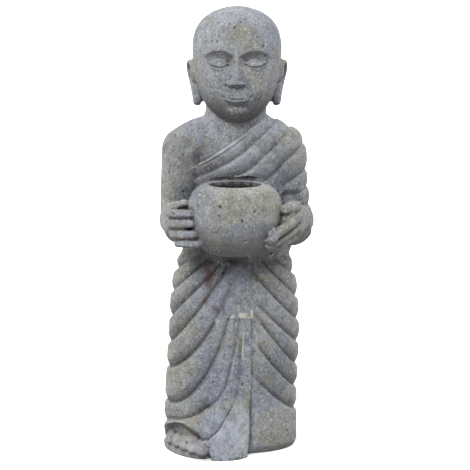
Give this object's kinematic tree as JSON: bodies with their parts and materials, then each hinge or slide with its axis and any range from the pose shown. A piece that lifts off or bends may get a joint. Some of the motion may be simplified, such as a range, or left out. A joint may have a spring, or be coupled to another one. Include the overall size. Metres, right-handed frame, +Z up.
{
  "type": "garden statue",
  "caption": "Cast stone garden statue of a standing robed monk with a shaved head, one shoulder bare, holding a hollow round alms bowl in both hands",
  "frame": {"origin": "on the flat underside, on the figure's upright axis, level with the ground it stands on", "axes": "+Z up, the figure faces -Y, and +X is the side of the sleeved arm"},
  "size_m": [0.2772, 0.2812, 0.7999],
  "materials": {
    "stone": "matte"
  },
  "bodies": {
    "root": {"monk_statue": "stone"}
  },
  "joints": []
}
